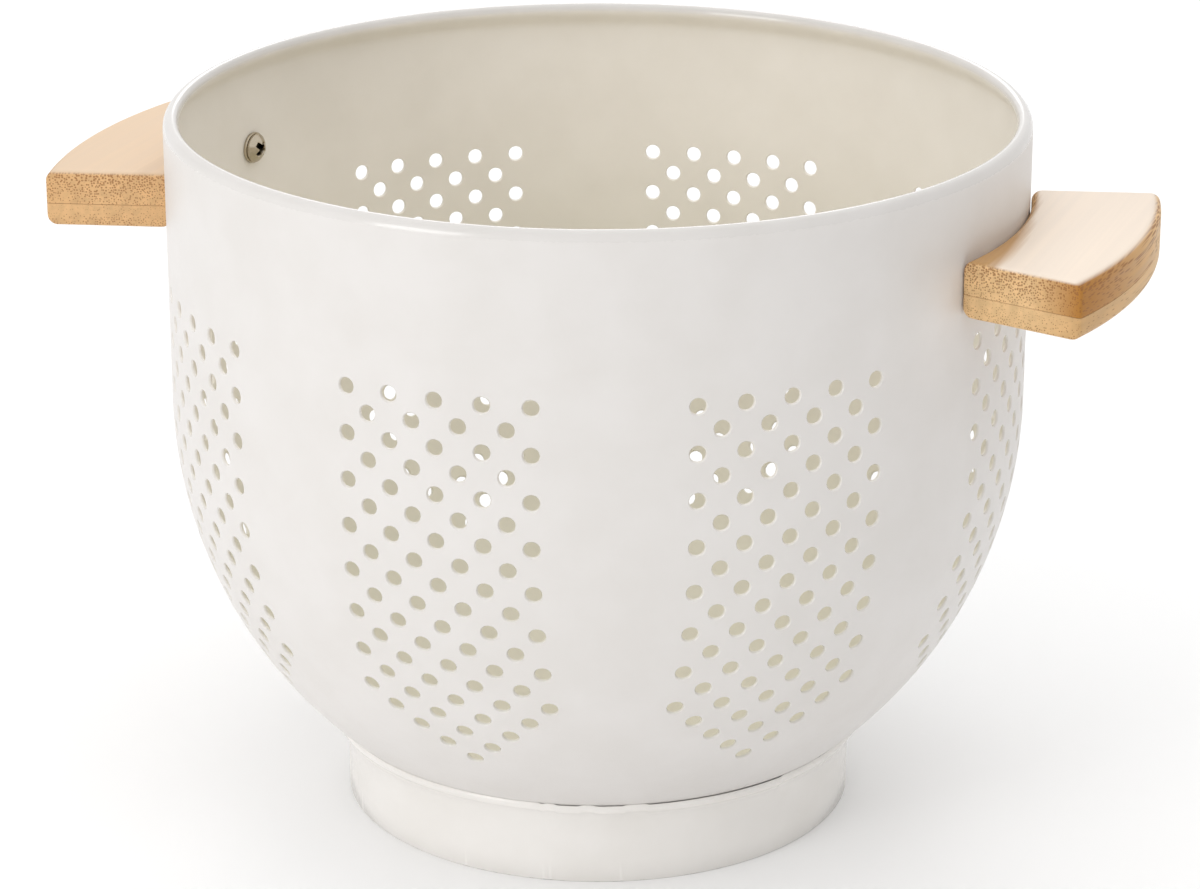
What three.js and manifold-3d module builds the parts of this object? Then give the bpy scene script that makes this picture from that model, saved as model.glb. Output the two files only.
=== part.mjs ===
// Deep kitchen colander: a coated steel bowl punched with eight patches of drain holes,
// a ring foot welded under it, and two bamboo handles screwed on from inside the bowl.
// Millimetres, +Z up. The origin is the centre of the foot's underside, +X points to a handle.
import * as THREE from 'three';
import { mergeVertices } from 'three/addons/utils/BufferGeometryUtils.js';
import Module from 'manifold-3d';

const wasm = await Module();
wasm.setup();

// Bowl: a straight wall over a dome with a flat bottom. The dome's arc is centred beyond the axis
const bowlRadius = 110.2;
const bowlHeight = 185.7;
const bowlSheet = 1.0;
const domeOffset = 8;
const baseHeight = 6;
const baseFlat = 42.7;
const baseFillet = 9;
const rimBead = 4;

// Drain holes: staggered columns in patches, with rows counted down the wall from the rim
const patchCount = 8;
const patchColumns = 9;
const columnPitch = 5.9;
const rowPitch = 11.8;
const firstRowDrop = 43.1;
const middleRows = 10;
const holeDiameter = 4;
const columnStep = 2;
const baseHoleRing = 18;
const baseHoleCount = 8;

// Ring foot: a strip of sheet with its top edge turned out along the bowl
const footRadius = 66.7;
const footSheet = 1.2;
const footBend = 3;
const footFlange = 3.4;
const footClearance = 0.3;

// Handles: two glued plies of bamboo, moulded along both arcs and sawn across at the ends
const handleReach = 32.2;
const handleHalfAngle = 16.6;
const handleSplay = 0.3;
const handleDrop = 20.2;
const upperPly = 8.5;
const lowerPly = 5.8;
const glueGap = 0.1;
const topRound = 2.7;
const bottomRound = 2.7;
const handleClearance = 0.4;

// Fixings: one pan head screw and one flat washer at each end of each handle
const screwAngle = 11;
const screwDrop = 27.2;
const shankDiameter = 4;
const screwReach = 20;
const headDiameter = 7.6;
const headHeight = 2.6;
const recessWidth = 1.1;
const recessSpan = 4.6;
const recessDepth = 1.5;
const washerDiameter = 8.4;
const washerThickness = 0.8;
const boreClearance = 0.35;
const seatClearance = 0.3;

// How finely round shapes are divided
const facetsPerPatch = 7;
const holeSides = 5;
const smallSides = 16;
const arcSteps = 8;
const filletSteps = 2;
const roundSteps = 3;
const flatness = 0.002;

const bowlFacets = patchCount * facetsPerPatch;
const domeRadius = bowlRadius + domeOffset;
const domeTurn = Math.acos((baseFlat + domeOffset) / (domeRadius - baseFillet));
const domeCentre = baseHeight + baseFillet + (domeRadius - baseFillet) * Math.sin(domeTurn);
const straightWall = bowlHeight - domeCentre;
const facetFlat = Math.cos(Math.PI / bowlFacets);
const up = new THREE.Vector3(0, 0, 1);

const coatedSteel = new THREE.MeshStandardMaterial({ color: 0xebe8e3, roughness: 0.42, metalness: 0 });
const glossCoat = new THREE.MeshStandardMaterial({ color: 0xefece4, roughness: 0.28, metalness: 0 });
const paleBamboo = new THREE.MeshStandardMaterial({ color: 0xecd2b2, roughness: 0.55, metalness: 0 });
const darkBamboo = new THREE.MeshStandardMaterial({ color: 0xd8ab6e, roughness: 0.6, metalness: 0 });
const steel = new THREE.MeshStandardMaterial({ color: 0xb9b4aa, roughness: 0.3, metalness: 1 });

// A closed geometry as a solid for cutting, without the empty triangles at a lathe's poles
function solid(geometry) {
  const bare = geometry.clone();
  bare.deleteAttribute('normal');
  bare.deleteAttribute('uv');
  const joined = mergeVertices(bare, 1e-4);
  const corners = joined.index.array;
  const triangles = [];
  for (let at = 0; at < corners.length; at += 3) {
    const [a, b, c] = corners.slice(at, at + 3);
    if (a !== b && b !== c && c !== a) {
      triangles.push(a, b, c);
    }
  }
  return new wasm.Manifold(new wasm.Mesh({
    numProp: 3,
    vertProperties: new Float32Array(joined.attributes.position.array),
    triVerts: new Uint32Array(triangles),
  }));
}

function geometryOf(body) {
  const mesh = body.getMesh();
  const geometry = new THREE.BufferGeometry();
  geometry.setAttribute('position', new THREE.BufferAttribute(mesh.vertProperties, 3));
  geometry.setIndex(new THREE.BufferAttribute(mesh.triVerts, 1));
  geometry.computeVertexNormals();
  return geometry;
}

function named(name, geometry, material) {
  const mesh = new THREE.Mesh(geometry, material);
  mesh.name = name;
  return mesh;
}

// A profile of (radius, height) points turned about +Z, with the middle of a facet on +X
function turned(profile, sides) {
  const points = profile.map(([r, z]) => new THREE.Vector2(r, z));
  const geometry = new THREE.LatheGeometry(points, sides, Math.PI / sides);
  return geometry.rotateX(Math.PI / 2);
}

// A straight prism along a direction, from one distance to another
function punch(centre, direction, from, to, diameter, sides) {
  const geometry = new THREE.CylinderGeometry(diameter / 2, diameter / 2, to - from, sides);
  const turn = new THREE.Quaternion().setFromUnitVectors(new THREE.Vector3(0, 1, 0), direction);
  geometry.applyQuaternion(turn);
  const middle = centre.clone().addScaledVector(direction, (from + to) / 2);
  return geometry.translate(middle.x, middle.y, middle.z);
}

function compass(angle) {
  return new THREE.Vector3(Math.cos(angle), Math.sin(angle), 0);
}

// The bowl's outside at a distance down the wall from the rim: radius, height and outward slope
function wallAt(distance) {
  const turn = Math.max(0, distance - straightWall) / domeRadius;
  const drop = Math.min(distance, straightWall);
  return {
    radius: domeRadius * Math.cos(turn) - domeOffset,
    height: bowlHeight - drop - domeRadius * Math.sin(turn),
    slope: turn,
  };
}

// One skin of the bowl from the straight wall down to the axis, breaking between rows of holes
function bowlSkin(depth) {
  const fillet = baseFillet - depth;
  const reach = Math.PI / 2 - domeTurn;
  const points = [];
  const firstBend = firstRowDrop + (Math.floor((straightWall - firstRowDrop) / rowPitch) + 0.5) * rowPitch;
  const domeEnd = straightWall + domeRadius * domeTurn;
  const rowsEnd = firstRowDrop + middleRows * rowPitch;
  const stretch = (at) => (at < rowsEnd ? rowPitch : 2 * rowPitch);
  for (let at = firstBend; at < domeEnd - rowPitch / 2; at += stretch(at)) {
    const spot = wallAt(at);
    points.push([spot.radius - depth * Math.cos(spot.slope), spot.height + depth * Math.sin(spot.slope)]);
  }
  for (let step = 0; step <= filletSteps; step += 1) {
    const angle = reach * (1 - step / filletSteps);
    points.push([
      baseFlat + fillet * Math.sin(angle),
      baseHeight + baseFillet - fillet * Math.cos(angle),
    ]);
  }
  points.push([0, baseHeight + depth]);
  return points;
}

// The rim is rolled inwards: its bead runs from the outside of the wall over the top and under
function rimOutline() {
  const points = [];
  for (let step = 0; step <= (3 * arcSteps) / 4; step += 1) {
    const angle = (step / arcSteps) * 2 * Math.PI;
    points.push([
      bowlRadius - (rimBead / 2) * (1 - Math.cos(angle)),
      bowlHeight - (rimBead / 2) * (1 - Math.sin(angle)),
    ]);
  }
  return points;
}

function bowlBody() {
  const neck = [bowlRadius - bowlSheet, bowlHeight - rimBead - bowlSheet / 2];
  const profile = [...bowlSkin(0).reverse(), ...rimOutline(), neck, ...bowlSkin(bowlSheet)];
  return solid(turned(profile, bowlFacets));
}

// Odd columns start on the first row, the others half a row lower, and the patch ends in a point
function wallHoles() {
  const middle = (patchColumns + 1) / 2;
  const holes = [];
  for (let patch = 0; patch < patchCount; patch += 1) {
    const heading = (2 * Math.PI * patch) / patchCount;
    for (let column = 1; column <= patchColumns; column += columnStep) {
      const aside = column - middle;
      const lastHalfRow = 2 * (middleRows - 1) - Math.abs(aside);
      for (let halfRow = (column + 1) % 2; halfRow <= lastHalfRow; halfRow += 2) {
        const spot = wallAt(firstRowDrop + (halfRow * rowPitch) / 2);
        const angle = heading + (aside * columnPitch) / spot.radius;
        const direction = compass(angle).multiplyScalar(Math.cos(spot.slope));
        direction.addScaledVector(up, -Math.sin(spot.slope));
        const centre = compass(angle).multiplyScalar(spot.radius).addScaledVector(up, spot.height);
        holes.push(punch(centre, direction, -3 * bowlSheet, 2 * bowlSheet, holeDiameter, holeSides));
      }
    }
  }
  return holes;
}

function baseHoles() {
  const holes = [];
  for (let index = 0; index < baseHoleCount; index += 1) {
    const centre = compass((2 * Math.PI * (index + 0.5)) / baseHoleCount).multiplyScalar(baseHoleRing);
    centre.z = baseHeight;
    holes.push(punch(centre, up, -bowlSheet, 2 * bowlSheet, holeDiameter, holeSides));
  }
  return holes;
}

const screwHeight = bowlHeight - screwDrop;

function screwHole(angle, diameter) {
  const reach = bowlRadius + handleClearance + screwReach;
  const start = bowlRadius - 4 * bowlSheet;
  const centre = new THREE.Vector3(0, 0, screwHeight);
  return punch(centre, compass(angle), start, reach + boreClearance, diameter, smallSides);
}

const handles = [
  { side: 'right', heading: 0 },
  { side: 'left', heading: Math.PI },
];

// Each handle has one screw towards the front, -Y, and one towards the back, +Y
function fixings() {
  const places = [];
  for (const { side, heading } of handles) {
    for (const turn of [-1, 1]) {
      const angle = heading + turn * THREE.MathUtils.degToRad(screwAngle);
      const end = Math.sin(angle) < 0 ? 'front' : 'back';
      places.push({ name: `${side}_${end}`, side, angle });
    }
  }
  return places;
}

const boreDiameter = shankDiameter + 2 * boreClearance;

// The cut facets are flat, so the spare corners that the cuts leave in them are merged
function bowl() {
  const screwHoles = fixings().map(({ angle }) => screwHole(angle, boreDiameter));
  const cuts = [...wallHoles(), ...baseHoles(), ...screwHoles].map(solid);
  return bowlBody().subtract(wasm.Manifold.union(cuts)).asOriginal().simplify(flatness);
}

// The wall bends outwards at its top, and the flange lies along the dome
function footRing() {
  const wallInside = footRadius - footSheet;
  const flangeEnd = footRadius + footFlange;
  const skin = domeRadius + footClearance;
  const under = (radius, offset) => domeCentre - Math.sqrt((skin + offset) ** 2 - (radius + domeOffset) ** 2);
  const bendTop = under(footRadius + footBend / 2, footSheet);
  const profile = [
    [wallInside, 0],
    [footRadius, 0],
    [footRadius, bendTop - footBend],
    [footRadius + 0.15 * footBend, bendTop - 0.45 * footBend],
    [footRadius + footBend / 2, bendTop],
    [flangeEnd, under(flangeEnd, footSheet)],
    [flangeEnd, under(flangeEnd, 0)],
    [wallInside, under(wallInside, 0)],
    [wallInside, 0],
  ];
  return turned(profile, bowlFacets);
}

// A ply's section in radius and height: square at the glued face and rounded at the outer one
function plySection(glueFace, outerFace, round) {
  const inner = bowlRadius + handleClearance;
  const outer = inner + handleReach;
  const way = Math.sign(outerFace - glueFace);
  const points = [new THREE.Vector2(inner, glueFace), new THREE.Vector2(outer, glueFace)];
  const curve = (radius, side, turn) => points.push(new THREE.Vector2(
    radius - side * round * (1 - Math.cos(turn)),
    outerFace - way * round * (1 - Math.sin(turn)),
  ));
  const quarter = Math.PI / 2;
  for (let step = 0; step <= roundSteps; step += 1) {
    curve(outer, 1, (step / roundSteps) * quarter);
  }
  for (let step = roundSteps; step >= 0; step -= 1) {
    curve(inner, -1, (step / roundSteps) * quarter);
  }
  return points;
}

// Rings of equal length joined in order, the first and last closed by flat caps of the outline's shape
function loft(rings, outline) {
  const count = outline.length;
  const positions = rings.flat().flatMap((point) => [point.x, point.y, point.z]);
  const index = [];
  for (let ring = 0; ring + 1 < rings.length; ring += 1) {
    for (let place = 0; place < count; place += 1) {
      const a = ring * count + place;
      const b = ring * count + ((place + 1) % count);
      index.push(a, b, b + count, a, b + count, a + count);
    }
  }
  const last = (rings.length - 1) * count;
  for (const [a, b, c] of THREE.ShapeUtils.triangulateShape(outline, [])) {
    index.push(a, c, b);
    index.push(last + a, last + b, last + c);
  }
  const geometry = new THREE.BufferGeometry();
  geometry.setAttribute('position', new THREE.Float32BufferAttribute(positions, 3));
  geometry.setIndex(index);
  return geometry;
}

// The section carried round the bowl's axis between sawn ends that spread a little towards the bowl
function ply(glueFace, outerFace, round) {
  const way = Math.sign(outerFace - glueFace);
  const section = plySection(glueFace, outerFace, round);
  const outer = bowlRadius + handleClearance + handleReach;
  const half = (x) => THREE.MathUtils.degToRad(handleHalfAngle + (handleSplay * (outer - x)) / handleReach);
  const rings = [];
  for (let step = 0; step <= arcSteps; step += 1) {
    const turn = way * (1 - (2 * step) / arcSteps);
    rings.push(section.map(({ x, y }) => compass(turn * half(x)).multiplyScalar(x).setZ(y)));
  }
  return loft(rings, section.map(({ x, y }) => new THREE.Vector2(x, way * y)));
}

function pliesOf({ side, heading }) {
  const top = bowlHeight - handleDrop;
  const seam = top - upperPly;
  const faces = [
    { name: 'upper', geometry: ply(seam, top, topRound), material: paleBamboo },
    { name: 'lower', geometry: ply(seam - glueGap, seam - glueGap - lowerPly, bottomRound), material: darkBamboo },
  ];
  const bores = fixings().filter((place) => place.side === side);
  const drilled = wasm.Manifold.union(bores.map(({ angle }) => solid(screwHole(angle, boreDiameter))));
  return faces.map(({ name, geometry, material }) => {
    const body = solid(geometry.rotateZ(heading)).subtract(drilled);
    return named(`${side}_handle_${name}_ply`, geometryOf(body), material);
  });
}

// The washer bears on the inside of the wall, and the screw head on the washer
const washerSeat = (bowlRadius - bowlSheet) * facetFlat - (washerDiameter / 2) ** 2 / (2 * bowlRadius) - seatClearance;
const headSeat = washerSeat - washerThickness - seatClearance;

function washer() {
  const profile = [
    [boreDiameter / 2, 0],
    [washerDiameter / 2, 0],
    [washerDiameter / 2, washerThickness],
    [boreDiameter / 2, washerThickness],
    [boreDiameter / 2, 0],
  ];
  return turned(profile, smallSides);
}

// Made pointing along -Z, with the underside of its head at the origin and a cross recess on top
function screw() {
  const length = bowlRadius + handleClearance + screwReach - headSeat;
  const profile = [
    [0, -length],
    [shankDiameter / 4, -length],
    [shankDiameter / 2, -length + shankDiameter / 2],
    [shankDiameter / 2, 0],
    [headDiameter / 2, 0],
    [headDiameter / 2, 0.45 * headHeight],
    [0.42 * headDiameter, 0.78 * headHeight],
    [0.26 * headDiameter, headHeight],
    [0, headHeight],
  ];
  const slot = new THREE.BoxGeometry(recessSpan, recessWidth, 2 * recessDepth).translate(0, 0, headHeight);
  const cross = solid(slot).add(solid(slot.clone().rotateZ(Math.PI / 2)));
  return geometryOf(solid(turned(profile, smallSides)).subtract(cross));
}

// A piece made along +Z is turned to face the bowl's axis and moved out to its seat
function facingIn(mesh, angle, seat) {
  mesh.quaternion.setFromUnitVectors(up, compass(angle + Math.PI));
  mesh.position.copy(compass(angle).multiplyScalar(seat)).setZ(screwHeight);
  return mesh;
}

const colander = new THREE.Group();
colander.name = 'colander';
colander.add(named('bowl', geometryOf(bowl()), coatedSteel));
colander.add(named('foot_ring', footRing(), glossCoat));
for (const handle of handles) {
  colander.add(...pliesOf(handle));
}
for (const { name, angle } of fixings()) {
  colander.add(facingIn(named(`${name}_washer`, washer(), steel), angle, washerSeat));
  colander.add(facingIn(named(`${name}_screw`, screw(), steel), angle, headSeat));
}

export default colander;
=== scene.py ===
import math

import bpy
import numpy as np
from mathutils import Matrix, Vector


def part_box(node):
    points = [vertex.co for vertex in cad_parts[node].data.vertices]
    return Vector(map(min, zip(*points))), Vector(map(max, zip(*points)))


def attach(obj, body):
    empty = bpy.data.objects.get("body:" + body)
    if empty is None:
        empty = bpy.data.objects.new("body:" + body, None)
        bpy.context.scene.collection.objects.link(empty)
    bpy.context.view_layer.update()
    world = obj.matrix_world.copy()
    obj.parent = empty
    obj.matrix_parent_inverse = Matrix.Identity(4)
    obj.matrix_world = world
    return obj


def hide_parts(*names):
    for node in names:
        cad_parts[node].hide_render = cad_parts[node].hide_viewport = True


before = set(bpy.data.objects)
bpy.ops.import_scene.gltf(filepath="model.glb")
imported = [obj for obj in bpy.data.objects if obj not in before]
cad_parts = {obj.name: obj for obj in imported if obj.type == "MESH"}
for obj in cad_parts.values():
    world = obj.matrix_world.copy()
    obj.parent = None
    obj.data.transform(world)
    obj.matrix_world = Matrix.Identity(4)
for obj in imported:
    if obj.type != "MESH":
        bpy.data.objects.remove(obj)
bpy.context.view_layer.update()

# Bowl
# One pressing of steel sheet: a straight wall over a dome with a flat bottom, the rim rolled over
# inwards. Eight patches of staggered drain holes, a ring of eight in the bottom and four screw holes
# are punched in it before it is coated off-white.
wall_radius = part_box("bowl")[1].y
rim_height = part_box("bowl")[1].z
base_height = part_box("bowl")[0].z
straight_wall = 0.07398
sheet = 0.0010
dome_offset = 0.008
base_fillet = 0.009
dome_radius = wall_radius + dome_offset
dome_centre = rim_height - straight_wall
dome_turn = math.asin((dome_centre - base_height - base_fillet) / (dome_radius - base_fillet))
dome_end = straight_wall + dome_radius * dome_turn
fillet_end = dome_end + base_fillet * (math.pi / 2 - dome_turn)
base_radius = (dome_radius - base_fillet) * math.cos(dome_turn) - dome_offset

patches = 8
columns = 9
middle_column = columns // 2
longest_column = 10
column_pitch = 0.0059
row_pitch = 0.0118
first_row = 0.0431
hole_radius = 0.0020
lip_width = 0.00030
lip_depth = 0.00036
# A hole's lip takes this share of the marked edge, where the coat is smoother and painted greyer as shade.
lip_edge = 0.45
pattern_top = first_row - row_pitch / 2
pattern_end = pattern_top + longest_column * row_pitch

screw_drop = 0.0272
screw_turn = math.radians(11)
screw_bore = 0.00235
drain_ring = 0.018

# The wall is a grid of faces: a hole in a patch has a cell of four by four, and the gaps are six wide.
cell = 4
gap_steps = 6
sector_steps = columns * cell + gap_steps
around = patches * sector_steps
sharp_angle = math.radians(45)


def bowl_wall(distance, angle, depth):
    """Points of the bowl by distance down the outside from the rim, by angle about the axis and by
    depth into the sheet. The outside runs straight down, then along an arc centred a little beyond the
    axis, round the small base fillet and in to the axis. Depth is taken along the inward normal."""
    dome = np.clip((distance - straight_wall) / dome_radius, 0, dome_turn)
    slope = dome + np.clip(distance - dome_end, 0, fillet_end - dome_end) / base_fillet
    inwards = np.clip(distance - fillet_end, 0, None)
    radius = ((dome_radius - base_fillet) * np.cos(dome) - dome_offset
              + (base_fillet - depth) * np.cos(slope) - inwards)
    drop = np.minimum(distance, straight_wall) + (dome_radius - base_fillet) * np.sin(dome)
    height = rim_height - drop - (base_fillet - depth) * np.sin(slope)
    return np.stack(np.broadcast_arrays(radius * np.cos(angle), radius * np.sin(angle), height), axis=-1)


def column_angles(distance):
    """Angle of every upright grid line at each distance down the wall. A column of holes keeps its
    width along the wall, so its angle widens as the wall draws in, and the plain gaps take up the rest."""
    shown = np.minimum(distance, pattern_end)[:, None]
    width = column_pitch / np.linalg.norm(bowl_wall(shown, 0.0, 0.0)[..., :2], axis=-1)
    in_patch = width * (np.arange(columns * cell + 1) / cell - columns / 2)
    sector = 2 * math.pi / patches
    edge = in_patch[:, -1:]
    in_gap = edge + (sector - 2 * edge) * np.arange(1, gap_steps) / gap_steps
    one = np.concatenate([in_patch, in_gap], axis=1)
    return (one[:, None, :] + sector * np.arange(patches)[:, None]).reshape(len(distance), around)


def piece(name, points, quads, flats, material, node):
    """An object at the origin from points, four-cornered faces and wider flat faces. Faces that meet
    at more than the sharp angle keep a sharp edge, and all others are shaded as one curve."""
    mesh = bpy.data.meshes.new(name)
    mesh.from_pydata(points.tolist(), [], quads.tolist() + [list(flat) for flat in flats])
    mesh.polygons.foreach_set("use_smooth", np.ones(len(mesh.polygons), dtype=bool))
    mesh.set_sharp_from_angle(angle=sharp_angle)
    mesh.materials.append(material)
    made = bpy.data.objects.new(name, mesh)
    bpy.context.scene.collection.objects.link(made)
    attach(made, "root")
    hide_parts(node)
    return made


def mark(made, name, shares):
    """A share from 0 to 1 at each point of a piece, under a name that its material reads."""
    layer = made.data.attributes.new(name, "FLOAT", "POINT")
    layer.data.foreach_set("value", shares.astype(np.float32))


def grid_faces(rows, steps):
    """Four-cornered faces between consecutive rows of points, each row a loop that runs anticlockwise."""
    row = np.arange(rows - 1)[:, None]
    step = np.arange(steps)[None, :]
    after = (step + 1) % steps
    return np.stack([row * steps + step, (row + 1) * steps + step,
                     (row + 1) * steps + after, row * steps + after], axis=-1)


def node_tree(name):
    """A new material with its node list, its link function and its main shader."""
    material = bpy.data.materials.new(name)
    material.use_nodes = True
    tree = material.node_tree
    return material, tree.nodes, tree.links.new, tree.nodes["Principled BSDF"]


def marked(nodes, name):
    """The share that mark put at each point of the piece, as a value socket."""
    node = nodes.new("ShaderNodeAttribute")
    node.attribute_name = name
    return node.outputs["Fac"]


# Nearly all values of a noise lie between these two.
noise_low = 0.3
noise_high = 0.7


def noise(nodes, link, source, scale, detail, stretch=(1, 1, 1)):
    """Noise over the given coordinates, which are first multiplied by stretch. Returns its value socket."""
    mapping = nodes.new("ShaderNodeMapping")
    mapping.inputs["Scale"].default_value = stretch
    texture = nodes.new("ShaderNodeTexNoise")
    texture.inputs["Scale"].default_value = scale
    texture.inputs["Detail"].default_value = detail
    link(source, mapping.inputs["Vector"])
    link(mapping.outputs["Vector"], texture.inputs["Vector"])
    return texture.outputs["Fac"]


def spread(nodes, link, value, low, high, to_low, to_high):
    """The value carried from one range to another and held at its ends."""
    node = nodes.new("ShaderNodeMapRange")
    for socket, number in zip(("From Min", "From Max", "To Min", "To Max"), (low, high, to_low, to_high)):
        node.inputs[socket].default_value = number
    link(value, node.inputs["Value"])
    return node.outputs["Result"]


def combine(nodes, link, operation, first, second):
    """Two value sockets put through one arithmetic operation."""
    node = nodes.new("ShaderNodeMath")
    node.operation = operation
    link(first, node.inputs[0])
    link(second, node.inputs[1])
    return node.outputs["Value"]


# The colour sockets of a Mix node share their names with others, so they are taken by number.
mix_factor = 0
mix_first = 6
mix_second = 7
mix_result = 2


def blend(nodes, link, factor, first, second, mode="MIX"):
    """Two colours mixed by a factor. Each of the three may also be a socket."""
    node = nodes.new("ShaderNodeMix")
    node.data_type = "RGBA"
    node.blend_type = mode
    for socket, colour in ((node.inputs[mix_first], first), (node.inputs[mix_second], second)):
        if isinstance(colour, tuple):
            socket.default_value = (*colour, 1)
        else:
            link(colour, socket)
    if isinstance(factor, float):
        node.inputs[mix_factor].default_value = factor
    else:
        link(factor, node.inputs[mix_factor])
    return node.outputs[mix_result]


def bump(nodes, link, shader, height, strength, depth):
    """Small relief on the shader's normal, depth in metres."""
    node = nodes.new("ShaderNodeBump")
    node.inputs["Strength"].default_value = strength
    node.inputs["Distance"].default_value = depth
    link(height, node.inputs["Height"])
    link(node.outputs["Normal"], shader.inputs["Normal"])


# The inside darkens to a painted shade between two heights, the top and the bottom below. The edge is marked
# from 0 to 1, painted greyer as shade, and is smoothest from edge_full up.
mottle_scale = 55
mottle_low = 0.35
mottle_high = 0.65
mottle_tint = (0.965, 0.962, 0.955)
peel_scale = 900
peel_depth = 0.00006
depth_shade_top = 0.150
depth_shade_bottom = 0.045
edge_shade_tone = 0.9
edge_full = 0.4
edge_smoothing = 0.26


def powder_coat(name, outside, roughness, peel_strength, inside_light_and_shade=None):
    """Baked coating: a faint mottle in its colour and orange peel in its surface. Given a pair of inside
    colours, the marked inside is painted as light and shade: lighter and warmer than the outside high up,
    darkening to a painted shade with depth, from the first colour to the second. Over a marked edge the coat
    is smoother and painted greyer as shade."""
    material, nodes, link, shader = node_tree(name)
    place = nodes.new("ShaderNodeTexCoord").outputs["Object"]
    mottle = noise(nodes, link, place, mottle_scale, detail=4)
    peel = noise(nodes, link, place, peel_scale, detail=2)
    colour = outside
    rough = spread(nodes, link, peel, noise_low, noise_high, *roughness)
    if inside_light_and_shade:
        height = nodes.new("ShaderNodeSeparateXYZ")
        link(place, height.inputs["Vector"])
        # Painted shade: the inside darkens from the top height down to the bottom one.
        depth_shade = spread(nodes, link, height.outputs["Z"], depth_shade_top, depth_shade_bottom, 0, 1)
        coated = blend(nodes, link, marked(nodes, "inside"), outside, blend(nodes, link, depth_shade, *inside_light_and_shade))
        edge = marked(nodes, "edge")
        # Over a marked edge the colour is painted greyer, as shade.
        colour = blend(nodes, link, edge, coated, tuple(edge_shade_tone * share for share in outside))
        smoother = spread(nodes, link, edge, 0, edge_full, 0, edge_smoothing)
        rough = combine(nodes, link, "SUBTRACT", rough, smoother)
    cloud = spread(nodes, link, mottle, mottle_low, mottle_high, 0, 1)
    shade = blend(nodes, link, cloud, mottle_tint, (1, 1, 1))
    link(blend(nodes, link, 1.0, colour, shade, "MULTIPLY"), shader.inputs["Base Color"])
    link(rough, shader.inputs["Roughness"])
    bump(nodes, link, shader, peel, peel_strength, peel_depth)
    return material


# The inside's pair of colours is painted light and shade: lighter than the outside high up, darker deep down.
bowl_coat = powder_coat("off_white_coat", outside=(0.79, 0.762, 0.737), roughness=(0.36, 0.46),
                        peel_strength=0.25, inside_light_and_shade=((0.908, 0.86, 0.788), (0.765, 0.738, 0.63)))

# Rows of grid points down the wall, by distance from the rim, and then in over the flat bottom.
rim_end = 0.0074
row_slack = 1e-6
lower_steps = 13
fillet_steps = 4
base_outer_rings = [0.028, 0.0235]
base_inner_rings = [0.009, 0.004]
quarter_row = row_pitch / cell
upper_rows = np.arange(rim_end, screw_drop - row_pitch / 2 - row_slack, quarter_row)
screw_rows = screw_drop - row_pitch / 2 + np.arange(2 * cell + 1) * quarter_row / 2
pattern_rows = pattern_top + np.arange(cell * longest_column + 1) * quarter_row
lower_rows = np.linspace(pattern_end, dome_end, lower_steps + 1)[1:]
fillet_rows = np.linspace(dome_end, fillet_end, fillet_steps + 1)[1:]
drain_rows = drain_ring + (cell / 2 - np.arange(cell + 1)) * quarter_row / 2
base_rows = fillet_end + base_radius - np.concatenate([base_outer_rings, drain_rows, base_inner_rings])
row_list = [upper_rows, screw_rows, [(screw_rows[-1] + pattern_top) / 2],
            pattern_rows, lower_rows, fillet_rows, base_rows]
distances = np.concatenate(row_list)
row_starts = np.cumsum([0] + [len(part) for part in row_list])
screw_start, pattern_start, base_start = row_starts[1], row_starts[3], row_starts[6]
wall_rows = len(distances)
angles = column_angles(distances)

# The rim leans in from the wall's inside, curls up to its crest and comes over down to the outside.
rim_inset = 0.0040
rim_crown = 0.0024
rim_fall = 0.0020
rim_shoulder = 0.0030
rim_lift = 0.0004
rim_steps = 7
climb = np.linspace(0, 1, rim_steps + 1)[1:]
lean = np.stack([wall_radius - sheet - (rim_inset - sheet) * climb ** 2 * (3 - 2 * climb),
                 rim_height - rim_end + rim_lift + (rim_end - rim_lift - rim_fall) * climb], axis=-1)
roll = np.linspace(math.pi / 2, 0, rim_steps + 1)[1:]
curl = np.stack([wall_radius - rim_crown - (rim_inset - rim_crown) * np.sin(roll),
                 rim_height - rim_fall * (1 - np.cos(roll))], axis=-1)
over = np.stack([wall_radius - rim_crown * (1 - np.cos(roll)),
                 rim_height - rim_shoulder * (1 - np.sin(roll))], axis=-1)
rim_profile = np.concatenate([lean, curl, over])
rim_angles = angles[0]
rim_points = np.stack(np.broadcast_arrays(rim_profile[:, :1] * np.cos(rim_angles),
                                          rim_profile[:, :1] * np.sin(rim_angles),
                                          rim_profile[:, 1:]), axis=-1)
inner_points = bowl_wall(distances[:, None], angles, sheet)[::-1]
outer_points = bowl_wall(distances[:, None], angles, 0.0)
bowl_points = np.concatenate([inner_points, rim_points, outer_points]).reshape(-1, 3)
bowl_rows = 2 * wall_rows + len(rim_profile)
outer_start = wall_rows + len(rim_profile)

bowl_faces = grid_faces(bowl_rows, around)
face_kept = np.ones(bowl_faces.shape[:2], dtype=bool)
hole_points = []
hole_faces = []
hole_inside = []
hole_edge = []


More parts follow.
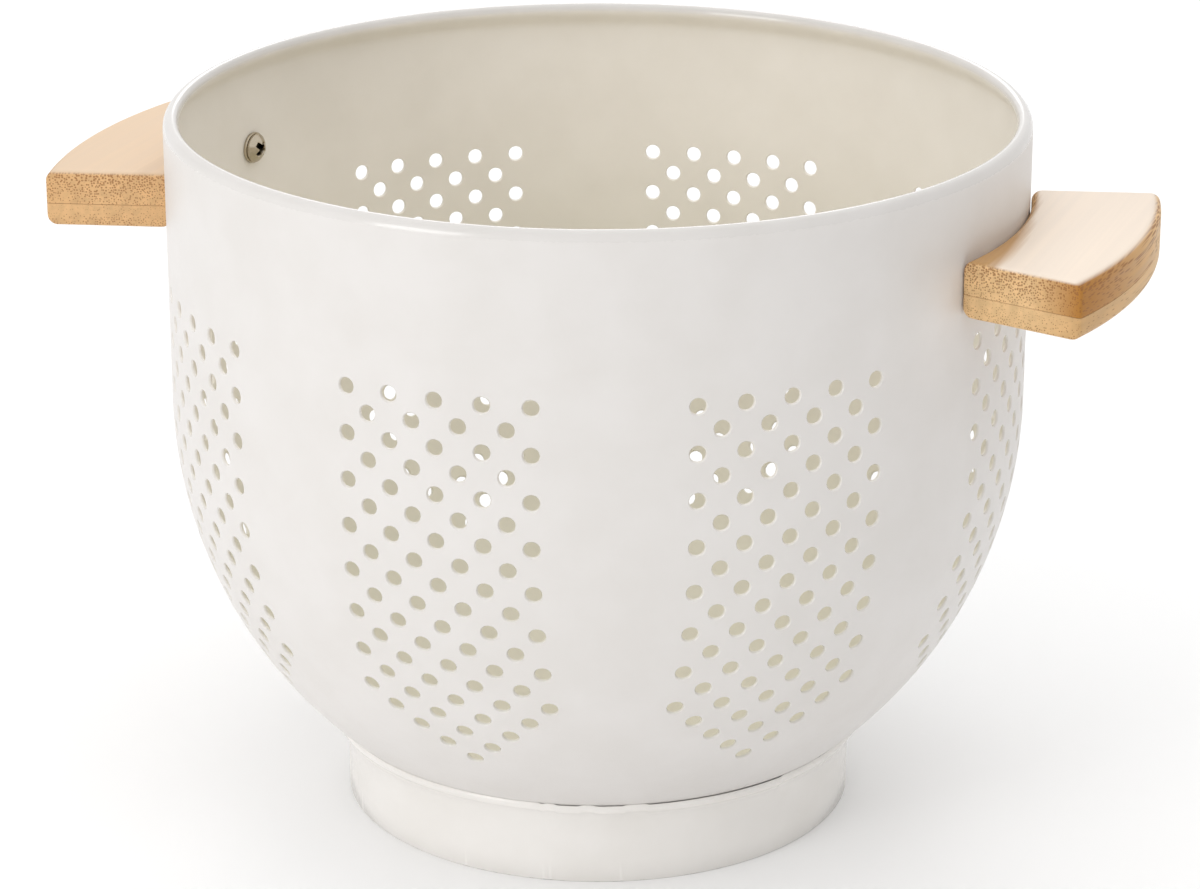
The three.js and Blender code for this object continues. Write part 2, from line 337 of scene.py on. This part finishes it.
def punch(top_row, first_step, tall, wide, distance, angle, radius):
    """Holes that each take the place of a block of the wall's grid, tall by wide faces. Rings of points
    run from the block's edge over a small lip, through the sheet and out over the lip on the inside.
    A ring's points face the block's edge points one by one."""
    count = 2 * (tall + wide)
    along = np.concatenate([np.arange(wide), np.full(tall, wide),
                            np.arange(wide, 0, -1), np.zeros(tall, int)])
    down = np.concatenate([np.zeros(wide, int), np.arange(tall),
                           np.full(wide, tall), np.arange(tall, 0, -1)])
    facing = np.arctan2(2 * down / tall - 1, 2 * along / wide - 1)
    steps = (first_step[:, None] + along) % around
    rows = top_row[:, None] + down
    outer_edge = (outer_start + rows) * around + steps
    inner_edge = (wall_rows - 1 - rows) * around + steps
    block_rows = top_row[:, None, None] + np.arange(tall)[:, None]
    block_steps = (first_step[:, None, None] + np.arange(wide)) % around
    face_kept[outer_start + block_rows, block_steps] = False
    face_kept[wall_rows - 2 - block_rows, block_steps] = False
    holes = len(distance)
    hole = np.arange(holes)[:, None]
    first_point = len(bowl_points) + sum(len(block) for block in hole_points)
    rings = ((radius + lip_width, 0, 0), (radius, lip_depth, lip_edge),
             (radius, sheet - lip_depth, 0), (radius + lip_width, sheet, 0))
    loops = [outer_edge]
    for ring, (reach, depth, edge) in enumerate(rings):
        at = distance[:, None] + reach * np.sin(facing)
        local = np.linalg.norm(bowl_wall(at, 0.0, 0.0)[..., :2], axis=-1)
        turned = angle[:, None] + reach * np.cos(facing) / local
        hole_points.append(bowl_wall(at, turned, depth).reshape(-1, 3))
        hole_inside.append(np.full(holes * count, min(2 * depth / sheet, 1)))
        hole_edge.append(np.full(holes * count, edge))
        loops.append(first_point + (ring * holes + hole) * count + np.arange(count))
    loops.append(inner_edge)
    for near, far in zip(loops, loops[1:]):
        band = [near, far, np.roll(far, -1, axis=1), np.roll(near, -1, axis=1)]
        hole_faces.append(np.stack(band, axis=-1).reshape(-1, 4))


column_number = np.arange(columns)
half_row = np.arange(2 * longest_column - 1)[:, None]
staggered = half_row % 2 == column_number % 2
above_end = half_row <= 2 * longest_column - 2 - np.abs(column_number - middle_column)
drilled_row, drilled_column = np.nonzero(staggered & above_end)
patch_of = np.repeat(np.arange(patches), len(drilled_row))
drilled_row = np.tile(drilled_row, patches)
drilled_column = np.tile(drilled_column, patches)
hole_distance = first_row + drilled_row * row_pitch / 2
hole_wall = np.linalg.norm(bowl_wall(hole_distance, 0.0, 0.0)[..., :2], axis=-1)
hole_angle = 2 * math.pi * patch_of / patches + (drilled_column - middle_column) * column_pitch / hole_wall
punch(pattern_start + 2 * drilled_row, patch_of * sector_steps + drilled_column * cell, cell, cell,
      hole_distance, hole_angle, hole_radius)

left_patch = patches // 2 * sector_steps
last_block = (columns - 2) * cell
screw_angles = np.array([-screw_turn, screw_turn, math.pi - screw_turn, math.pi + screw_turn])
screw_steps = np.array([0, last_block, left_patch, left_patch + last_block])
screws = len(screw_angles)
punch(np.full(screws, screw_start), screw_steps, 2 * cell, 2 * cell,
      np.full(screws, screw_drop), screw_angles, screw_bore)

drain_wide = gap_steps + 2 * cell
drain_steps = np.arange(patches) * sector_steps + (columns - 1) * cell
punch(np.full(patches, base_start + len(base_outer_rings)), drain_steps, cell, drain_wide,
      np.full(patches, fillet_end + base_radius - drain_ring),
      (np.arange(patches) + 0.5) * 2 * math.pi / patches, hole_radius)

bowl_quads = np.concatenate([bowl_faces[face_kept]] + hole_faces)
base_inside = np.arange(around)
base_outside = (bowl_rows - 1) * around + np.arange(around)[::-1]
bowl = piece("bowl_shell", np.concatenate([bowl_points] + hole_points), bowl_quads,
             [base_inside, base_outside], bowl_coat, "bowl")

# The inside's painted tone fades out where the lean turns into the curl, and over the crest the coat is
# smoother and painted greyer as shade.
lining_fade = 4
edge_rise = 3
edge_fall = 4
rim_row = np.arange(len(rim_profile))
rim_inside = np.clip((len(lean) + lining_fade / 2 - rim_row) / lining_fade, 0, 1)
row_inside = np.concatenate([np.ones(wall_rows), rim_inside, np.zeros(wall_rows)])
mark(bowl, "inside", np.concatenate([np.repeat(row_inside, around)] + hole_inside))
rising = (rim_row - len(lean) + 1) / edge_rise
falling = (len(rim_profile) - 1 - rim_row) / edge_fall
row_edge = np.concatenate([np.zeros(wall_rows), np.clip(np.minimum(rising, falling), 0, 1),
                           np.zeros(wall_rows)])
mark(bowl, "edge", np.concatenate([np.repeat(row_edge, around)] + hole_edge))

# Ring foot
# A strip of coated steel bent to a ring, its top edge turned out along the bowl and tacked to it by
# welds. The coat is thicker and glossier here and painted lighter than the bowl's, standing in for the light
# that the bowl keeps off it, and a hairline gap shows between some of the tacks.
foot_flange = 0.0034
foot_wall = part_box("foot_ring")[1].y - foot_flange
foot_sheet = 0.0012
flange_thick = 0.0015
flange_round = 0.0015
foot_straight = 0.0115
foot_hem = 0.0004
foot_middle_out = 0.006
foot_middle_in = 0.010
foot_gap = 0.00004
foot_open = 0.00032
foot_steps = 720
flare_steps = 10
edge_steps = 10
top_steps = 6
open_ease = 0.8
open_arcs = ((-82.0, -80.4), (-78.8, -72.8), (-70.6, -63.6), (-59.7, -27.0),
             (20.0, 31.0), (97.0, 128.0), (131.0, 140.0))


def under_dome(radius, offset):
    """Height of a surface that lies a distance outside the bowl's dome, by radius."""
    return dome_centre - np.sqrt((dome_radius + offset) ** 2 - (radius + dome_offset) ** 2)


def foot_profile():
    """Radius and height round the strip's section, and how far each point follows the open gap: up the
    straight wall, out along a smooth flare, round the edge to its tip on the dome, back and down inside."""
    wall_in = foot_wall - foot_sheet
    tip = np.array([foot_wall + foot_flange, under_dome(foot_wall + foot_flange, foot_gap)])
    slope = math.acos((tip[0] + dome_offset) / (dome_radius + foot_gap))
    away = np.array([math.cos(slope), -math.sin(slope)])
    along = np.array([math.sin(slope), math.cos(slope)])
    turn = np.linspace(0, math.pi / 2, edge_steps + 1)[:, None]
    edge = tip - flange_round * along * (1 - np.sin(turn)) + flange_thick * away * np.cos(turn)
    start = np.array([foot_wall, foot_straight])
    corner = edge[0] - along * (edge[0, 0] - foot_wall) / along[0]
    way = np.linspace(0, 1, flare_steps + 1)[:-1, None]
    flare = (1 - way) ** 2 * start + 2 * way * (1 - way) * corner + way ** 2 * edge[0]
    top_radius = np.linspace(tip[0], wall_in, top_steps + 1)[1:]
    top = np.stack([top_radius, under_dome(top_radius, foot_gap)], axis=-1)
    outside = np.array([[foot_wall - foot_hem, 0], [foot_wall, foot_hem], [foot_wall, foot_middle_out]])
    inside = np.array([[wall_in, foot_middle_in], [wall_in, foot_hem], [wall_in + foot_hem, 0]])
    follow = np.concatenate([np.zeros(len(outside)), way[:, 0] ** 2, np.ones(len(edge) + len(top)),
                             np.zeros(len(inside))])
    return np.concatenate([outside, flare, edge, top, inside]), follow


def gap_opening(turn):
    """Share by which the gap stands open at each angle: one inside an open arc, eased out at its ends."""
    degrees = np.degrees(np.arctan2(np.sin(turn), np.cos(turn)))
    return sum(np.clip((degrees - low) / open_ease, 0, 1) * np.clip((high - degrees) / open_ease, 0, 1)
               for low, high in open_arcs)


# Painted light: the foot's colour is lighter than the bowl's coat, standing in for light that the bowl keeps
# off it.
lightened_foot_coat = powder_coat("lightened_gloss_coat", outside=(0.93, 0.902, 0.866), roughness=(0.15, 0.25),
                        peel_strength=0.06)
section, follow = foot_profile()
foot_turn = np.arange(foot_steps) * 2 * math.pi / foot_steps
foot_height = section[::-1, None, 1] - foot_open * follow[::-1, None] * gap_opening(foot_turn)
foot_points = np.stack(np.broadcast_arrays(section[::-1, None, 0] * np.cos(foot_turn),
                                           section[::-1, None, 0] * np.sin(foot_turn),
                                           foot_height), axis=-1).reshape(-1, 3)
foot_quads = grid_faces(len(section) + 1, foot_steps).reshape(-1, 4) % (len(section) * foot_steps)
piece("foot_strip", foot_points, foot_quads, [], lightened_foot_coat, "foot_ring")

# Handles
# Each handle is two plies of pressed bamboo strips glued face to face, moulded along both arcs and
# sawn across at the ends, so the ends show the fibre bundles as dots and the arcs show them as streaks.
handle_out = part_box("right_handle_upper_ply")[1].x
handle_gap = 0.0003
handle_in = wall_radius + handle_gap
handle_half = math.radians(16.6)
handle_splay = math.radians(0.3)
top_round = 0.0027
under_round = 0.0027
least_round = 0.0002
round_steps = 9
end_round = 0.0009
end_steps = 3
arc_steps = 48

# A stretch multiplies the coordinates, so its small middle number draws the grain out along Y. Fronts
# and backs are places along Y, the other lengths are across the ply, and the rest are shares and colours.
streak_stretch = (420, 9, 420)
drift_stretch = (110, 14, 110)
fibre_stretch = (1650, 22, 1650)
bundle_scatter = 0.75
bundle_colour = (0.30, 0.12, 0.035)
bundle_strength = 0.8
bundle_soft = 0.10
dense_reach = 0.46
thinnest = -0.05
thickest = 0.03
strip_width = 0.0175
strip_contrast = 0.3
fibre_dark = 0.84
fibre_light = 1.08
fibre_lightest = 0.88
handle_front = -0.036
brown_colour = (0.42, 0.175, 0.025)
brown_back = 0.020
brown_deep = 0.014
brown_full = 0.001
sanded_dark = 0.93
# A painted shadow of the bowl's rim browns the broad face in a band beside the bowl, widest at the front.
rim_shadow_dark = (0.39, 0.185, 0.045)
rim_shadow_light = (0.57, 0.32, 0.10)
rim_shadow_strength = 0.9
rim_shadow_back = 0.010
rim_shadow_width = 0.0085
rim_shadow_ragged = 0.0015
rim_shadow_full = -0.0015
rim_shadow_out = 0.0025
bamboo_roughness = (0.42, 0.56)
bamboo_shine = 0.25
grain_strength = 0.25
grain_depth = 0.00006
upper_skin = 0.0005
upper_pale = (0.0007, 0.0001)
lower_skin = 0.004
lower_pale = (0.0003, 0.00005)


def ply_section(flat, far, rounding, inset):
    """Closed section of a ply in radius and height, drawn in by a distance: square at the glued face and
    rounded by quarter circles at the far one. It runs from the inner glued corner outwards."""
    way = np.sign(far - flat)
    turn = np.linspace(0, math.pi / 2, round_steps + 1)
    low, high = handle_in + inset, handle_out - inset
    end = far - way * inset
    curve = max(rounding - inset, least_round)
    outer = np.stack([high - curve * (1 - np.cos(turn)), end - way * curve * (1 - np.sin(turn))], axis=-1)
    inner = np.stack([low + curve * (1 - np.sin(turn)), end - way * curve * (1 - np.cos(turn))], axis=-1)
    return np.concatenate([[[low, flat], [high, flat]], outer, inner])


def bamboo(name, skin, heart, sparse, pale, broad, ground, browned, browning_and_rim_shadow):
    """Pressed bamboo: fibre bundles run along Y, close and dark by the skin side of the ply and sparse
    by its heart, in strips of differing tone. The outer arc is browned towards the front. The sanded broad
    face is faintly streaked and painted pale as a highlight from the light overhead, and a painted shadow of
    the bowl's rim browns it in a ragged band beside the bowl."""
    material, nodes, link, shader = node_tree(name)
    place = nodes.new("ShaderNodeTexCoord").outputs["Object"]
    parts = nodes.new("ShaderNodeSeparateXYZ")
    link(place, parts.inputs["Vector"])
    across = nodes.new("ShaderNodeCombineXYZ")
    link(parts.outputs["X"], across.inputs["X"])
    link(parts.outputs["Y"], across.inputs["Y"])
    radius = nodes.new("ShaderNodeVectorMath")
    radius.operation = "LENGTH"
    link(across.outputs["Vector"], radius.inputs[0])
    streak = noise(nodes, link, place, 1.0, detail=5, stretch=streak_stretch)
    drift = noise(nodes, link, place, 1.0, detail=2, stretch=drift_stretch)
    grain = spread(nodes, link, streak, noise_low, noise_high, 0, 1)

    fibre = nodes.new("ShaderNodeMapping")
    fibre.inputs["Scale"].default_value = fibre_stretch
    link(place, fibre.inputs["Vector"])
    bundles = nodes.new("ShaderNodeTexVoronoi")
    bundles.inputs["Scale"].default_value = 1.0
    bundles.inputs["Randomness"].default_value = bundle_scatter
    link(fibre.outputs["Vector"], bundles.inputs["Vector"])
    nearness = spread(nodes, link, parts.outputs["Z"], heart, skin, sparse, dense_reach)
    patchy = spread(nodes, link, drift, noise_low, noise_high, thinnest, thickest)
    reach = combine(nodes, link, "ADD", nearness, patchy)
    dots = combine(nodes, link, "SUBTRACT", reach, bundles.outputs["Distance"])
    bundle = spread(nodes, link, dots, -bundle_soft, bundle_soft, 0, bundle_strength)

    strip = nodes.new("ShaderNodeTexWhiteNoise")
    strip.noise_dimensions = "1D"
    strip_edge = nodes.new("ShaderNodeMath")
    strip_edge.operation = "SNAP"
    strip_edge.inputs[1].default_value = strip_width
    link(parts.outputs["X"], strip_edge.inputs[0])
    link(strip_edge.outputs["Value"], strip.inputs["W"])
    darker = tuple(fibre_dark * share for share in ground)
    lighter = tuple(min(fibre_light * share, fibre_lightest) for share in ground)
    fibres = blend(nodes, link, grain, darker, lighter)
    strip_tone = spread(nodes, link, strip.outputs["Value"], 0, 1, 0, strip_contrast)
    toned = blend(nodes, link, strip_tone, fibres, darker)
    frontwards = spread(nodes, link, parts.outputs["Y"], handle_front, brown_back, 1, 0)
    at_arc = spread(nodes, link, radius.outputs["Value"], handle_out - brown_deep, handle_out - brown_full,
                    0, browned * browning_and_rim_shadow)
    brown = combine(nodes, link, "MULTIPLY", frontwards, at_arc)
    stained = blend(nodes, link, brown, toned, brown_colour)
    dotted = blend(nodes, link, bundle, stained, bundle_colour)

    # The broad face's colour is painted pale as a highlight from the light overhead.
    shaded = tuple(sanded_dark * share for share in broad)
    sanded = blend(nodes, link, grain, shaded, broad)
    # Painted shadow of the bowl's rim: a ragged band beside the bowl, narrowing towards the back.
    band = spread(nodes, link, parts.outputs["Y"], handle_front, rim_shadow_back, rim_shadow_width, 0)
    past_band = combine(nodes, link, "SUBTRACT", radius.outputs["Value"], band)
    wander = spread(nodes, link, streak, noise_low, noise_high, -rim_shadow_ragged, rim_shadow_ragged)
    ragged = combine(nodes, link, "ADD", past_band, wander)
    rim_shadow = spread(nodes, link, ragged, handle_in + rim_shadow_full, handle_in + rim_shadow_out, rim_shadow_strength * browning_and_rim_shadow, 0)
    streaked_rim_shadow = blend(nodes, link, grain, rim_shadow_dark, rim_shadow_light)
    topped = blend(nodes, link, rim_shadow, sanded, streaked_rim_shadow)
    face = spread(nodes, link, parts.outputs["Z"], *pale, 0, 1)
    link(blend(nodes, link, face, dotted, topped), shader.inputs["Base Color"])
    link(spread(nodes, link, streak, noise_low, noise_high, *bamboo_roughness), shader.inputs["Roughness"])
    shader.inputs["Specular IOR Level"].default_value = bamboo_shine
    bump(nodes, link, shader, streak, grain_strength, grain_depth)
    return material


def handle_ply(name, node, side, flat, far, rounding, material):
    """The section carried round an arc about the bowl's axis, the sawn ends spread a little towards the
    bowl. At both ends it is drawn in along a small quarter circle, and a flat face closes it."""
    ease = np.linspace(0, math.pi / 2, end_steps + 1)
    insets = np.concatenate([end_round * (1 - np.sin(ease)), np.zeros(arc_steps - 1),
                             end_round * (1 - np.sin(ease[::-1]))])
    backs = end_round * (1 - np.cos(ease)) / handle_out
    reach = handle_half - end_round / handle_out
    turns = np.concatenate([-handle_half + backs, np.linspace(-reach, reach, arc_steps + 1)[1:-1],
                            handle_half - backs[::-1]])
    rings = np.stack([ply_section(flat, far, rounding, inset) for inset in insets])
    inward = (handle_out - rings[..., 0]) / (handle_out - handle_in)
    angle = side + turns[:, None] * (1 + handle_splay / handle_half * inward)
    points = np.stack([rings[..., 0] * np.cos(angle), rings[..., 0] * np.sin(angle), rings[..., 1]], axis=-1)
    count = points.shape[1]
    quads = grid_faces(len(points), count).reshape(-1, 4)
    start = np.arange(count)
    finish = (len(points) - 1) * count + np.arange(count)
    if far > flat:
        return piece(name, points.reshape(-1, 3), quads, [start, finish[::-1]], material, node)
    return piece(name, points.reshape(-1, 3), quads[:, ::-1], [start[::-1], finish], material, node)


# Each row gives a handle's side, its angle, the colours of its broad face, painted pale as a highlight, and
# of its cut faces, and how strongly it is browned and painted with the bowl rim's shadow.
handle_looks = (("right", 0.0, (0.875, 0.752, 0.632), (0.80, 0.53, 0.265), 1.0),
                ("left", math.pi, (0.755, 0.567, 0.395), (0.745, 0.462, 0.222), 0.15))
for word, side, broad, ground, browning_and_rim_shadow in handle_looks:
    upper_low, upper_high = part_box(f"{word}_handle_upper_ply")
    lower_low, lower_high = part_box(f"{word}_handle_lower_ply")
    upper = bamboo(f"{word}_upper_bamboo", skin=upper_high.z - upper_skin, heart=upper_low.z, sparse=0.26,
                   pale=tuple(upper_high.z - depth for depth in upper_pale),
                   broad=broad, ground=ground, browned=0.95, browning_and_rim_shadow=browning_and_rim_shadow)
    lower = bamboo(f"{word}_lower_bamboo", skin=lower_low.z - lower_skin, heart=lower_high.z, sparse=0.14,
                   pale=tuple(lower_low.z + depth for depth in lower_pale),
                   broad=broad, ground=ground, browned=0.3, browning_and_rim_shadow=browning_and_rim_shadow)
    handle_ply(f"{word}_upper_bamboo", f"{word}_handle_upper_ply", side,
               upper_low.z, upper_high.z, top_round, upper)
    handle_ply(f"{word}_lower_bamboo", f"{word}_handle_lower_ply", side,
               lower_high.z, lower_low.z, under_round, lower)

# Screws and washers
# Each handle is held by two steel pan head screws with a cross recess, driven from inside the bowl
# through a flat washer that spreads the load on the coating.
shank_radius = 0.0020
shank_length = 0.0215
point_radius = 0.0004
point_length = 0.0230
head_radius = 0.0038
head_height = 0.0026
head_fall = 0.0020
head_lip = 0.0003
recess_half_width = 0.00070
recess_half_span = 0.0023
recess_depth = 0.0018
recess_turn = math.radians(45)
recess_side = 0.00022
recess_end = 0.0012
recess_zone = 0.0030
recess_rows = 26
dome_rows = 8
row_step = 0.0001
washer_radius = 0.0042
washer_thickness = 0.0008
washer_play = 0.0003
washer_bore = shank_radius + washer_play
washer_bevel = 0.0002
edge_break = 0.0001
seat_gap = 0.00005
screw_steps_round = 96
screw_height = rim_height - screw_drop

scratch_stretch = (900, 900, 6000)
scratch_strength = 0.15
scratch_depth = 0.00003
steel_dark = (0.42, 0.36, 0.27)
steel_light = (0.58, 0.51, 0.40)
steel_roughness = (0.13, 0.24)
# A pressed recess is painted near black, as its shade.
recess_shade_colour = (0.03, 0.025, 0.015)
recess_shade_start = 0.1
recess_shade_full = 0.6


def brushed_steel(name):
    """Turned steel gone brownish, with fine scratches, and painted black as shade in a pressed recess."""
    material, nodes, link, shader = node_tree(name)
    place = nodes.new("ShaderNodeTexCoord").outputs["Object"]
    scratch = noise(nodes, link, place, 1.0, detail=3, stretch=scratch_stretch)
    recess_shade = spread(nodes, link, marked(nodes, "recess"), recess_shade_start, recess_shade_full, 0, 1)
    bright = blend(nodes, link, scratch, steel_dark, steel_light)
    link(blend(nodes, link, recess_shade, bright, recess_shade_colour), shader.inputs["Base Color"])
    link(spread(nodes, link, scratch, noise_low, noise_high, *steel_roughness), shader.inputs["Roughness"])
    shader.inputs["Metallic"].default_value = 1
    bump(nodes, link, shader, scratch, scratch_strength, scratch_depth)
    return material


def seated(points, angle, seat):
    """Points made along +Z, turned so that +Z faces the bowl's axis and moved out to their seat."""
    towards = np.array([-math.cos(angle), -math.sin(angle), 0.0])
    across = np.array([-math.sin(angle), math.cos(angle), 0.0])
    upright = np.cross(towards, across)
    return (points[:, :1] * across + points[:, 1:2] * upright + points[:, 2:] * towards
            - towards * seat + np.array([0, 0, screw_height]))


def turned_points(profile, steps):
    """A profile of radius and height carried round +Z, one row of points for each profile point."""
    turn = np.arange(steps) * 2 * math.pi / steps
    return np.stack(np.broadcast_arrays(profile[:, :1] * np.cos(turn), profile[:, :1] * np.sin(turn),
                                        profile[:, 1:]), axis=-1)


def screw_body():
    """Points of a screw, and the share of the recess at each. The head's dome falls with the square of the
    radius, and a cross is pressed into it: the recess is deep where a point lies inside either arm, eases
    out at the arms' sides and rises to their ends. Rows run out over the head and down the plain shank."""
    radius = np.concatenate([np.linspace(row_step, recess_zone, recess_rows),
                             np.linspace(recess_zone + row_step, head_radius, dome_rows)])
    dome = head_height - head_fall * (radius / head_radius) ** 2
    rim = np.array([[head_radius + edge_break / 2, head_lip], [head_radius - edge_break, 0.0],
                    [shank_radius, 0.0], [shank_radius, -shank_length], [point_radius, -point_length]])
    points = turned_points(np.concatenate([np.stack([radius, dome], axis=-1), rim]), screw_steps_round)
    head = points[:len(radius)]
    x = np.abs(head[..., 0] * math.cos(recess_turn) + head[..., 1] * math.sin(recess_turn))
    y = np.abs(head[..., 1] * math.cos(recess_turn) - head[..., 0] * math.sin(recess_turn))
    narrow, far = np.minimum(x, y), np.maximum(x, y)
    side = np.clip((recess_half_width - narrow) / recess_side + 0.5, 0, 1)
    end = np.clip((recess_half_span - far) / recess_end, 0, 1)
    pressed = np.zeros(points.shape[:2], dtype=np.float32)
    pressed[:len(radius)] = side * end
    points[..., 2] -= recess_depth * pressed
    return points.reshape(-1, 3), pressed.ravel()


steel = brushed_steel("fastener_steel")
washer_profile = np.array([[washer_bore, edge_break / 2], [washer_bore, washer_thickness - edge_break],
                           [washer_bore + edge_break, washer_thickness],
                           [washer_radius - washer_bevel, washer_thickness],
                           [washer_radius, washer_thickness - washer_bevel], [washer_radius, edge_break],
                           [washer_radius - edge_break, 0.0], [washer_bore + edge_break / 2, 0.0]])
washer_points = turned_points(washer_profile, screw_steps_round).reshape(-1, 3)
washer_quads = grid_faces(len(washer_profile) + 1, screw_steps_round).reshape(-1, 4) % len(washer_points)
screw_points, screw_recess = screw_body()
screw_quads = grid_faces(len(screw_points) // screw_steps_round, screw_steps_round).reshape(-1, 4)
last_row = len(screw_points) - screw_steps_round
screw_ends = [np.arange(screw_steps_round), np.arange(last_row, len(screw_points))[::-1]]

# A washer's edge meets the round wall first, so its middle stands off by the depth of that arc.
washer_seat = wall_radius - sheet - washer_radius ** 2 / (2 * wall_radius) - seat_gap
screw_seat = washer_seat - seat_gap - washer_thickness
screw_names = ("right_front", "right_back", "left_back", "left_front")
for word, angle in zip(screw_names, screw_angles):
    piece(f"{word}_flat_washer", seated(washer_points, angle, washer_seat),
          washer_quads, [], steel, f"{word}_washer")
    screw = piece(f"{word}_pan_screw", seated(screw_points, angle, screw_seat),
                  screw_quads, screw_ends, steel, f"{word}_screw")
    mark(screw, "recess", screw_recess)

# Studio
# A pale floor, light that grows towards overhead, a soft key lamp from the front left, a weak one from
# behind that draws the rim's crest, and a long lens a metre off that looks down on the rim.
floor_half = 3.0
floor_tone = 0.95
floor_mesh = bpy.data.meshes.new("floor")
floor_mesh.from_pydata([(-floor_half, -floor_half, 0), (floor_half, -floor_half, 0),
                        (floor_half, floor_half, 0), (-floor_half, floor_half, 0)], [], [(0, 1, 2, 3)])
floor = bpy.data.objects.new("floor", floor_mesh)
bpy.context.scene.collection.objects.link(floor)
floor_material, nodes, link, shader = node_tree("pale_floor")
shader.inputs["Base Color"].default_value = (floor_tone, floor_tone, floor_tone, 1)
shader.inputs["Roughness"].default_value = 0.9
shader.inputs["Specular IOR Level"].default_value = 0
floor_mesh.materials.append(floor_material)

# The world is white where it is seen, and its light grows from nothing at the horizon to most overhead.
overhead_light = 1.56
world = bpy.data.worlds.new("studio")
bpy.context.scene.world = world
world.use_nodes = True
nodes, link = world.node_tree.nodes, world.node_tree.links.new
rays = nodes.new("ShaderNodeLightPath")
direct = combine(nodes, link, "MAXIMUM", rays.outputs["Is Camera Ray"], rays.outputs["Is Glossy Ray"])
seen = combine(nodes, link, "MAXIMUM", direct, rays.outputs["Is Transmission Ray"])
heading = nodes.new("ShaderNodeSeparateXYZ")
link(nodes.new("ShaderNodeTexCoord").outputs["Generated"], heading.inputs["Vector"])
overhead = spread(nodes, link, heading.outputs["Z"], 0, 1, 0, overhead_light)
strength = nodes.new("ShaderNodeMapRange")
link(seen, strength.inputs["Value"])
link(overhead, strength.inputs["To Min"])
link(strength.outputs["Result"], nodes["Background"].inputs["Strength"])
nodes["Background"].inputs["Color"].default_value = (1, 1, 1, 1)


def lamp(name, place, aim, width, power):
    """A square soft lamp at a place, facing a point."""
    data = bpy.data.lights.new(name, "AREA")
    data.size = width
    data.energy = power
    made = bpy.data.objects.new(name, data)
    bpy.context.scene.collection.objects.link(made)
    made.location = place
    way = np.array(aim) - np.array(place)
    made.rotation_euler = (math.acos(-way[2] / np.linalg.norm(way)), 0,
                           math.atan2(way[1], way[0]) - math.pi / 2)


lamp("key", place=(-0.62, -1.32, 0.55), aim=(0, 0, 0.08), width=0.6, power=5.3)
lamp("back", place=(-0.45, 1.2, 0.8), aim=(0, 0, 0.17), width=0.5, power=1.8)

camera_turn = math.radians(20.45)
camera_away = 1.0007
camera_height = 0.4589
camera_tilt = math.radians(20.03)
camera_yaw = math.radians(0.03)
lens = bpy.data.cameras.new("camera")
lens.sensor_width = 36
lens.lens = 122.25
lens.clip_end = 20
camera = bpy.data.objects.new("camera", lens)
camera.location = (camera_away * math.sin(camera_turn), -camera_away * math.cos(camera_turn), camera_height)
camera.rotation_euler = (math.pi / 2 - camera_tilt, 0, camera_turn - camera_yaw)
bpy.context.scene.collection.objects.link(camera)
bpy.context.scene.camera = camera
bpy.context.scene.view_settings.view_transform = "Standard"
